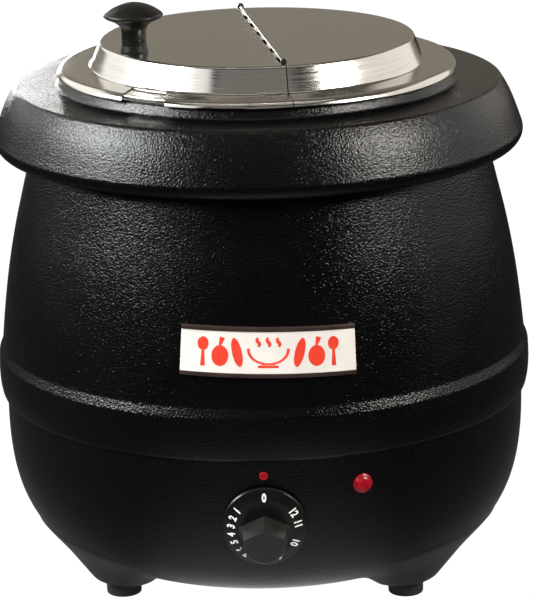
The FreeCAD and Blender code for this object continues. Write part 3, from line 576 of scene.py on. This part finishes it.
def leg_half_widths(z):
    """Half widths of the leg at this height, along the bowl and towards its axis."""
    for (z0, a0, b0), (z1, a1, b1) in zip(LEG_STEPS, LEG_STEPS[1:]):
        if z <= z1:
            share = (z - z0) / (z1 - z0)
            return a0 + (a1 - a0) * share, b0 + (b1 - b0) * share
    return LEG_STEPS[-1][1:]


def leg_height(u, v):
    """Height of the leg's surface at these offsets from its centre."""
    low, high = LEG_STEPS[0][0], LEG_STEPS[-1][0]
    halvings = 22
    for _ in range(halvings):
        z = (low + high) / 2
        a, b = leg_half_widths(z)
        if (u / a) ** 2 + (v / b) ** 2 > 1:
            low = z
        else:
            high = z
    return (low + high) / 2


def smooth_low(a, b, blend):
    """The lower of two heights, with a rounded crease between them."""
    share = max(0.0, min(1.0, 0.5 + 0.5 * (b - a) / blend))
    return b + (a - b) * share - blend * share * (1 - share)


def make_bowl():
    """The bowl pressed into three legs, as one sheet with its holes."""
    segments = TURNED_STEPS
    profile = sampled(with_radii(BOWL), run_step=2.0)
    outer = []
    for r, z in profile:
        for k in range(segments):
            a = 360.0 * k / segments
            spot = outward(a) * r
            height = z
            for turn in FOOT_TURNS.values():
                away = (a - turn + 180) % 360 - 180
                if abs(away) > LEG_REACH or z > LEG_TOP_Z:
                    continue
                u = r * math.sin(math.radians(away))
                v = r * math.cos(math.radians(away)) - FOOT_CIRCLE_R
                height = smooth_low(height, leg_height(u, v), LEG_CREASE)
            outer.append(Vector((spot.x, spot.y, height)))
    rings = len(profile)
    faces = ring_faces(rings, segments)
    guide = bmesh.new()
    points = [guide.verts.new(p) for p in outer]
    for f in faces:
        guide.faces.new([points[i] for i in f])
    guide.normal_update()
    inside = Vector((0, 0, 150))
    inner = []
    for p in points:
        n = p.normal
        if n.dot(inside - p.co) < 0:
            n = -n
        inner.append(p.co + n * SHEET)
    guide.free()
    count = len(outer)
    all_faces = faces + [[count + i for i in reversed(f)] for f in faces]
    for ring in (0, rings - 1):
        for k in range(segments):
            n = (k + 1) % segments
            a, b = ring * segments + k, ring * segments + n
            all_faces.append([a, b, count + b, count + a])
    bowl = make_piece("bowl_shell", outer + inner, all_faces, PAINT, "kettle", slot="painted_shell")
    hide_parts("lower_bowl")
    dial = on_wall(0, DIAL_Z)
    holes = [rod(SHAFT_HOLE_R, *THROUGH_WALL, dial),
             rod(INDEX_HOLE_R, *THROUGH_INDEX, on_wall(0, INDEX_Z)),
             rod(LAMP_HOLE_R, *THROUGH_WALL, on_wall(LAMP_TURN, LAMP_Z)),
             rod(GLAND_HOLE_R, *THROUGH_WALL, on_wall(180, GLAND_Z))]
    for side in (-1, 1):
        beside_shaft = dial @ Matrix.Translation((THERMOSTAT_SCREW_X * side, 0, 0))
        holes.append(rod(THERMOSTAT_SCREW_HOLE_R, *THROUGH_WALL, beside_shaft))
    for turn in FOOT_TURNS.values():
        over_foot = Matrix.Translation(outward(turn) * FOOT_CIRCLE_R)
        holes.append(rod(FOOT_SCREW_HOLE_R, *THROUGH_LEG, over_foot))
    for turn in BASE_SCREW_TURNS:
        at_screw = Matrix.Translation(outward(turn) * BASE_SCREW_CIRCLE_R)
        holes.append(rod(BASE_SCREW_HOLE_R, *THROUGH_FLOOR, at_screw))
    cut_with(bowl, holes)


def make_shells():
    bell_mesh = revolved(sheet_loop(BELL, SHEET, run_step=6.0), TURNED_STEPS)
    bell = make_piece("bell_shell", *bell_mesh, PAINT, "kettle", slot="painted_shell")
    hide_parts("upper_shell")
    collar_mesh = revolved(sheet_loop(COLLAR, SHEET, run_step=4.0), TURNED_STEPS)
    collar = make_piece("collar_shell", *collar_mesh, PAINT, "kettle", slot="painted_shell")
    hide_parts("top_collar")
    pot_mesh = revolved(sheet_loop(POT, THIN, run_step=6.0), TURNED_STEPS)
    pot = make_piece("pot_shell", *pot_mesh, POT_STEEL, "pot", slot="pot_steel")
    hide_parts("insert_pot")


# ---- knob, feet, lamp and index ----
def turned_piece(name, outline, segments, material, body, matrix, slot_name, node):
    loop = sampled(with_radii(outline))
    piece = make_piece(name, *revolved(loop, segments), material, body, matrix=matrix, slot=slot_name)
    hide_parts(node)
    return piece


def make_small_turned():
    knob_at = Matrix.Translation(outward(KNOB_TURN) * KNOB_POS_R + Vector((0, 0, LID_TOP_Z)))
    knob = turned_piece("grip_knob", KNOB, 128, PHENOLIC, "flap", knob_at, "black_phenolic", "lid_knob")
    cut_with(knob, [rod(KNOB_HOLE_R, *INTO_KNOB, knob_at)])
    for name, turn in FOOT_TURNS.items():
        at = Matrix.Translation(outward(turn) * FOOT_CIRCLE_R)
        turned_piece("rubber_" + name, FOOT, 96, RUBBER, "kettle", at, "rubber_foot", name)
    lamp_at = on_wall(LAMP_TURN, LAMP_Z)
    turned_piece("lamp_lens", LENS, 96, RED, "kettle", lamp_at, "red_lens", "pilot_lamp_lens")
    index_at = on_wall(0, INDEX_Z)
    turned_piece("index_cap", INDEX_CAP, 64, RED, "kettle", index_at, "red_lens", "index_marker")


# ---- dial ----
BORE_R = 3.05
SLOPE_OUT_R, SLOPE_LOW_Z = 25.0, 3.4
SLOPE_IN_R, SLOPE_HIGH_Z = 19.5, 5.6
SKIRT_TOP_Z = 5.95
SKIRT = [(BORE_R, 2.6), (19.4, 2.6, 0.4), (19.8, 1.0), (25.2, 1.0, 0.3), (25.6, 2.2, 0.4),
         (SLOPE_OUT_R, SLOPE_LOW_Z, 0.6), (SLOPE_IN_R, SLOPE_HIGH_Z, 1.5), (14.0, SKIRT_TOP_Z)]
GRIP = [(16.2, 3.0), (15.7, 6.4), (13.9, 9.0), (12.9, 15.0), (12.6, 26.3), (11.9, 27.0, 0.6),
        (0.0, 27.0)]
FACET_Y = 8.6
FACET_TURN = 24.0
FACET_Z = 5.2
GRIP_SHARP = 18.0
FIGURE_SIZE = 6.9
FIGURE_BOLD = 0.2
FIGURE_DEPTH = 0.06
FIGURE_LIFT = 0.05
FIGURE_NARROW = 0.76
FIGURE_CIRCLE_R = 20.0
NUMBERS = {"0": 0, "1": 53, "2": 69, "3": 84, "4": 100, "5": 115, "6": 131, "7": 146, "8": 170,
           "9": 203, "10": 242, "11": 278, "12": 301}


def grip_radius(angle, z, full):
    """Radius of the grip at this angle from +X: a circle, above FACET_Z cut by two facets."""
    if z < FACET_Z:
        return full
    out = full
    for side in (-1, 1):
        normal = math.radians(90.0 - FACET_TURN * side)
        toward = math.cos(angle - normal)
        if toward > 1e-3:
            to_facet = FACET_Y * math.cos(math.radians(FACET_TURN)) / toward
            out = min(out, to_facet)
    return out


def make_dial():
    place = on_wall(0, DIAL_Z)
    skirt_loop = sampled(with_radii(SKIRT)) + [Vector((BORE_R, SKIRT_TOP_Z))]
    skirt = make_piece("dial_skirt", *revolved(skirt_loop, 192), DIAL_BLACK, "dial", matrix=place,
                       slot="black_phenolic")
    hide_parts("control_dial")
    segments = 240
    facet_step = [(15.95, 5.19), (15.93, 5.21)]
    above_step = 5.3
    above = [(p.x, p.y) for p in sampled(with_radii(GRIP), arc_step=10.0) if p.y > above_step]
    levels = [GRIP[0]] + facet_step + above
    verts = []
    for r, z in levels[:-1]:
        for k in range(segments):
            a = 2 * math.pi * k / segments
            reach = grip_radius(a, z, r)
            verts.append((reach * math.cos(a), reach * math.sin(a), z))
    rings = len(levels) - 1
    faces = ring_faces(rings, segments)
    faces.append(list(range(segments))[::-1])
    faces.append([(rings - 1) * segments + k for k in range(segments)])
    grip = make_piece("dial_grip", verts, faces, GRIP_BLACK, "dial", sharp=GRIP_SHARP, matrix=place,
                      slot="black_phenolic")
    edge = grip.modifiers.new("edge", "BEVEL")
    edge.width = 0.35 * MM
    edge.segments = 3
    edge.limit_method = "ANGLE"
    edge.angle_limit = math.radians(GRIP_SHARP)
    edge.harden_normals = True
    for text, turn in NUMBERS.items():
        make_number(text, turn, place)


def make_number(text, turn, place):
    """A raised white figure on the dial's sloping rim, its top away from the centre."""
    curve = bpy.data.curves.new("number_" + text, "FONT")
    curve.body = text
    curve.align_x = "CENTER"
    curve.align_y = "CENTER"
    curve.size = FIGURE_SIZE * MM
    curve.offset = FIGURE_BOLD * MM
    curve.extrude = FIGURE_DEPTH * MM
    figure = new_object("curve_" + text, curve)
    bpy.context.view_layer.update()
    graph = bpy.context.evaluated_depsgraph_get()
    mesh = bpy.data.meshes.new_from_object(figure.evaluated_get(graph))
    bpy.data.objects.remove(figure)
    slope = math.atan2(SLOPE_HIGH_Z - SLOPE_LOW_Z, SLOPE_OUT_R - SLOPE_IN_R)
    height = SLOPE_HIGH_Z - (FIGURE_CIRCLE_R - SLOPE_IN_R) * math.tan(slope) + FIGURE_LIFT
    lay = (Matrix.Rotation(math.radians(turn), 4, "Z")
           @ Matrix.Translation((0, FIGURE_CIRCLE_R, height))
           @ Matrix.Rotation(-slope, 4, "X") @ Matrix.Diagonal((FIGURE_NARROW, 1.0, 1.0, 1.0)))
    verts = [tuple((lay @ (v.co / MM))) for v in mesh.vertices]
    faces = [list(p.vertices) for p in mesh.polygons]
    bpy.data.meshes.remove(mesh)
    make_piece("dial_number_" + text, verts, faces, NUMBER_WHITE, "dial", matrix=place,
               slot="white_plastic")


# ---- label ----
def label_point(degrees, z, offset):
    """A point this far off the bell behind the label, with the label's slight slant."""
    low_r = wall_at(BELL, LABEL_LOW_Z)[0]
    high_r = wall_at(BELL, LABEL_HIGH_Z)[0]
    slope = (high_r - low_r) / (LABEL_HIGH_Z - LABEL_LOW_Z)
    spot = outward(LABEL_TURN + degrees) * (low_r + slope * (z - LABEL_LOW_Z) + offset)
    spot.z = z
    middle = Vector((0, 0, LABEL_MIDDLE_Z))
    return Matrix.Rotation(math.radians(LABEL_TILT), 3, outward(LABEL_TURN)) @ (spot - middle) + middle


def swept_label(name, section, segments, material, slot_name):
    """A closed section (offset, height) swept round the label's arc, with closed ends."""
    verts = []
    count = len(section)
    for k in range(segments + 1):
        degrees = LABEL_ARC * (k / segments - 0.5)
        for offset, z in section:
            verts.append(label_point(degrees, z, offset))
    faces = ring_faces(segments + 1, count)
    faces.append(list(range(count)))
    faces.append([segments * count + i for i in range(count)][::-1])
    return make_piece(name, verts, faces, material, "kettle", slot=slot_name)


def make_label():
    low, high = LABEL_LOW_Z, LABEL_HIGH_Z
    front = HOLDER_BACK + HOLDER_DEPTH
    behind_lip = front - 0.5
    before_back = HOLDER_BACK + 0.6
    flange = 0.7
    corners = [(HOLDER_BACK, low), (front, low, 0.5), (front, low + HOLDER_LIP, 0.2),
               (behind_lip, low + HOLDER_LIP, 0.2), (behind_lip, low + flange, 0.05),
               (before_back, low + flange, 0.05), (before_back, high - flange, 0.05),
               (behind_lip, high - flange, 0.05), (behind_lip, high - HOLDER_LIP, 0.2),
               (front, high - HOLDER_LIP, 0.2), (front, high, 0.5), (HOLDER_BACK, high)]
    channel = [tuple(p) for p in sampled(with_radii(corners), arc_step=30)]
    holder = swept_label("label_channel", channel, 72, FRAME_BROWN, "label_frame")
    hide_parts("label_holder")
    low, high = low + CARD_EDGE, high - CARD_EDGE
    section = [(CARD_BACK, low), (CARD_FACE, low), (CARD_FACE, high), (CARD_BACK, high)]
    card_piece = swept_label("printed_card", section, 96, CARD, "label_card")
    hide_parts("label_card")


def printed_strip(name, path, half_widths):
    """A raised printed mark on the card: a path of (across, up) in mm with half widths along it."""
    left, right = [], []
    for i, (u, v) in enumerate(path):
        before = path[max(i - 1, 0)]
        after = path[min(i + 1, len(path) - 1)]
        du, dv = after[0] - before[0], after[1] - before[1]
        size = math.hypot(du, dv)
        w = half_widths[i]
        left.append((u - dv / size * w, v + du / size * w))
        right.append((u + dv / size * w, v - du / size * w))
    per_mm = math.degrees(1.0 / (wall_at(BELL, LABEL_MIDDLE_Z)[0] + CARD_FACE))
    sunk = 0.02
    verts = []
    for offset in (CARD_FACE - sunk, CARD_FACE + PRINT_T):
        for u, v in left + right:
            verts.append(label_point(u * per_mm, LABEL_MIDDLE_Z + v, offset))
    n = len(path)
    faces = []
    for i in range(n - 1):
        a, b, c, d = i, i + 1, n + i + 1, n + i
        faces.append([a, b, c, d])
        faces.append([2 * n + d, 2 * n + c, 2 * n + b, 2 * n + a])
        faces.append([a, 2 * n + a, 2 * n + b, b])
        faces.append([c, 2 * n + c, 2 * n + d, d])
    faces.append([0, n, 3 * n, 2 * n])
    faces.append([n - 1, 3 * n - 1, 4 * n - 1, 2 * n - 1][::-1])
    return make_piece(name, verts, faces, PRINT_RED, "kettle", slot="label_card")


def oval(t, half_width, least=0.15):
    """Half width of an oval at t from 0 to 1 along it."""
    return max(half_width * math.sqrt(max(1 - (2 * t - 1) ** 2, 0.0)), least)


def print_spoon(name, across):
    path = [(across, -8.6 + 1.15 * i) for i in range(9)]
    widths = [1.35 - 0.07 * i for i in range(9)]
    for i in range(1, 17):
        path.append((across, 0.6 + 8.0 * i / 16))
        widths.append(oval(i / 16, 3.3, 0.8 if i < 8 else 0.15))
    printed_strip(name, path, widths)


def print_onion(name, across):
    path, widths = [], []
    for i in range(21):
        path.append((across, -8.4 + 12.4 * i / 20))
        widths.append(oval(i / 20, 5.0, 0.5))
    for i in range(1, 9):
        path.append((across + 0.16 * i, 4.0 + 0.58 * i))
        widths.append(0.8 + 0.1 * i)
    printed_strip(name, path, widths)


def print_leaf(name, across, lean):
    path = [(across + lean * (t - 8) * 0.26, -8.4 + 1.05 * t) for t in range(17)]
    printed_strip(name, path, [max(oval(t / 16, 2.9), 0.55) for t in range(17)])


def make_print():
    """A steaming bowl in the middle, and a leaf, an onion and a spoon to either side."""
    bowl = [(0.0, 2.4 - 9.6 * i / 20) for i in range(21)]
    bowl_widths = [12.6 * math.sqrt(max(1 - (i / 20) ** 2.2, 0.1)) for i in range(21)]
    printed_strip("print_bowl", bowl, bowl_widths)
    printed_strip("print_bowl_foot", [(-6.0, -8.2), (0.0, -8.2), (6.0, -8.2)], [0.75, 0.75, 0.75])
    steam_widths = [0.5 + 0.55 * math.sin(math.pi * (i + 1) / 18) for i in range(17)]
    for k, across in enumerate((-6.0, 0.0, 6.0)):
        wave = [(across + 0.8 * math.sin(i / 16 * 2 * math.pi), 3.6 + 5.2 * i / 16) for i in range(17)]
        printed_strip(f"print_steam_{k + 1}", wave, steam_widths)
    leaf_at, onion_at, spoon_at = 18.5, 28.6, 38.8
    for side, word in ((-1, "left"), (1, "right")):
        print_leaf("print_leaf_" + word, side * leaf_at, side)
        print_onion("print_onion_" + word, side * onion_at)
        print_spoon("print_spoon_" + word, side * spoon_at)


finish_cad_nodes()
make_bowl()
make_shells()
make_small_turned()
make_dial()
make_label()
make_print()


# ---- stage, light and camera, in metres ----
LIGHT_TARGET = Vector((0, 0, 0.22))
LIGHT_DISTANCE = 2.5
STAGE_HALF = 6.0
GLOW_Z = -0.0005
GLOW_LEVEL = 0.72
GLOW_FULL_R = 0.165     # full as far as this, and half as bright GLOW_HALF_R farther out
GLOW_HALF_R = 0.15
GLOW_POWER = 1.5


def soft_box(name, azimuth, elevation, width, height, radiance, colour):
    """A rectangular light this many degrees from the front, towards +X, and above the floor."""
    data = bpy.data.lights.new(name, "AREA")
    data.shape = "RECTANGLE"
    data.size = width
    data.size_y = height
    data.energy = radiance * math.pi * width * height
    data.color = colour
    light = new_object(name, data)
    e = math.radians(elevation)
    toward_light = outward(azimuth) * math.cos(e) + Vector((0, 0, math.sin(e)))
    light.location = LIGHT_TARGET + toward_light * LIGHT_DISTANCE
    light.rotation_mode = "QUATERNION"
    light.rotation_quaternion = (LIGHT_TARGET - light.location).to_track_quat("-Z", "Y")
    return light


def stage_sheet(name, z):
    """A black square that shines with whatever is linked to its emission colour."""
    signs = ((-1, -1), (1, -1), (1, 1), (-1, 1))
    mesh = bpy.data.meshes.new(name)
    mesh.from_pydata([(STAGE_HALF * sx, STAGE_HALF * sy, z) for sx, sy in signs], [], [(0, 1, 2, 3)])
    made, tree, shader = new_material(name, Roughness=0.9, Specular_IOR_Level=0.1,
                                      Base_Color=(0, 0, 0, 1))
    shader.inputs["Emission Strength"].default_value = 1.0
    mesh.materials.append(made)
    sheet = new_object(name, mesh)
    return sheet, tree, shader


def make_floor():
    """A white floor for the camera, and the glow of the same floor, fading outward, for the kettle."""
    seen, tree, shader = stage_sheet("floor_seen", 0.0)
    grain = noise(tree, place_of(tree), 3.0, 2.0)
    whites = tones(tree, grain, (1.0, 1.0, 1.0), (1.03, 1.03, 1.03))
    tree.links.new(whites, shader.inputs["Emission Color"])
    seen.visible_diffuse = False
    seen.visible_glossy = False
    seen.visible_transmission = False
    seen.visible_shadow = False
    glow, tree, shader = stage_sheet("floor_glow", GLOW_Z)
    parts = add(tree, "ShaderNodeSeparateXYZ", inputs={"Vector": place_of(tree)})
    x, y = parts.outputs["X"], parts.outputs["Y"]
    radius = axis_radius(tree, x, y)
    away = math_node(tree, "MAXIMUM", math_node(tree, "SUBTRACT", radius, GLOW_FULL_R), 0.0)
    fall = math_node(tree, "POWER", math_node(tree, "DIVIDE", away, GLOW_HALF_R), GLOW_POWER)
    toward_front = math_node(tree, "DIVIDE", math_node(tree, "MULTIPLY", y, -1.0), radius)
    share = spread(tree, toward_front, 0.2, 1.0, 0.72, 0.97)
    fading = math_node(tree, "DIVIDE", GLOW_LEVEL, math_node(tree, "ADD", fall, 1.0))
    level = math_node(tree, "MULTIPLY", share, fading)
    tree.links.new(level, shader.inputs["Emission Color"])
    glow.visible_camera = False
    glow.visible_shadow = False


def make_world():
    """A dim studio, warm and brighter behind the kettle."""
    world = bpy.data.worlds.new("studio")
    world.use_nodes = True
    tree = world.node_tree
    background = tree.nodes["Background"]
    direction = add(tree, "ShaderNodeTexCoord").outputs["Generated"]
    parts = add(tree, "ShaderNodeSeparateXYZ", inputs={"Vector": direction})
    rear = spread(tree, parts.outputs["Y"], 0.0, 1.0, -0.35, 0.85)
    colour = tones(tree, rear, (0.012, 0.012, 0.013), (0.29, 0.262, 0.222), 0.0, 1.0)
    tree.links.new(colour, background.inputs["Color"])
    bpy.context.scene.world = world


def make_camera():
    """The camera fitted to the photograph, its angles in degrees."""
    distance, height, azimuth = 1.8179, 0.7013, 0.7
    yaw, pitch, roll = math.radians(-0.623), math.radians(16.007), math.radians(-1.365)
    forward = Vector((math.sin(yaw) * math.cos(pitch), math.cos(yaw) * math.cos(pitch), -math.sin(pitch)))
    right = forward.cross(Vector((0, 0, 1))).normalized()
    up = right.cross(forward)
    right_rolled = right * math.cos(roll) + up * math.sin(roll)
    up_rolled = up * math.cos(roll) - right * math.sin(roll)
    data = bpy.data.cameras.new("camera")
    data.lens = 177.94
    data.sensor_width = 36.0
    camera = new_object("camera", data)
    turn = Matrix((right_rolled, up_rolled, -forward)).transposed().to_4x4()
    turn.translation = outward(azimuth) * distance + Vector((0, 0, height))
    camera.matrix_world = turn
    bpy.context.scene.camera = camera


make_floor()
make_world()
make_camera()
soft_box("left_main", -78, 31, 1.7, 0.9, 27.0, (0.96, 0.98, 1.0))
soft_box("left_fill", -122, 25, 2.6, 1.6, 1.4, (0.97, 0.98, 1.0))
soft_box("right_main", 61, 31, 0.85, 0.8, 27.0, (1.0, 0.96, 0.91))
soft_box("right_fill", 109, 22, 3.6, 1.7, 1.1, (1.0, 0.97, 0.93))
soft_box("left_edge", -47, 28, 1.0, 1.0, 1.4, (0.97, 0.98, 1.0))
soft_box("front_soft", 0, 34, 2.2, 0.8, 0.25, (1.0, 0.97, 0.93))
soft_box("overhead", 0, 64, 2.4, 0.8, 0.5, (1.0, 0.95, 0.87))
soft_box("overhead_strip", 0, 82, 2.4, 0.15, 3.5, (1.0, 0.98, 0.95))
soft_box("rear_left_low", -166, 2, 0.6, 0.5, 11.0, (1.0, 1.0, 1.0))
front_fill = soft_box("front_fill", 0, 18, 1.0, 1.0, 9.0, (1.0, 0.99, 0.98))
front_fill.visible_glossy = False
bpy.context.scene.view_settings.view_transform = "Standard"
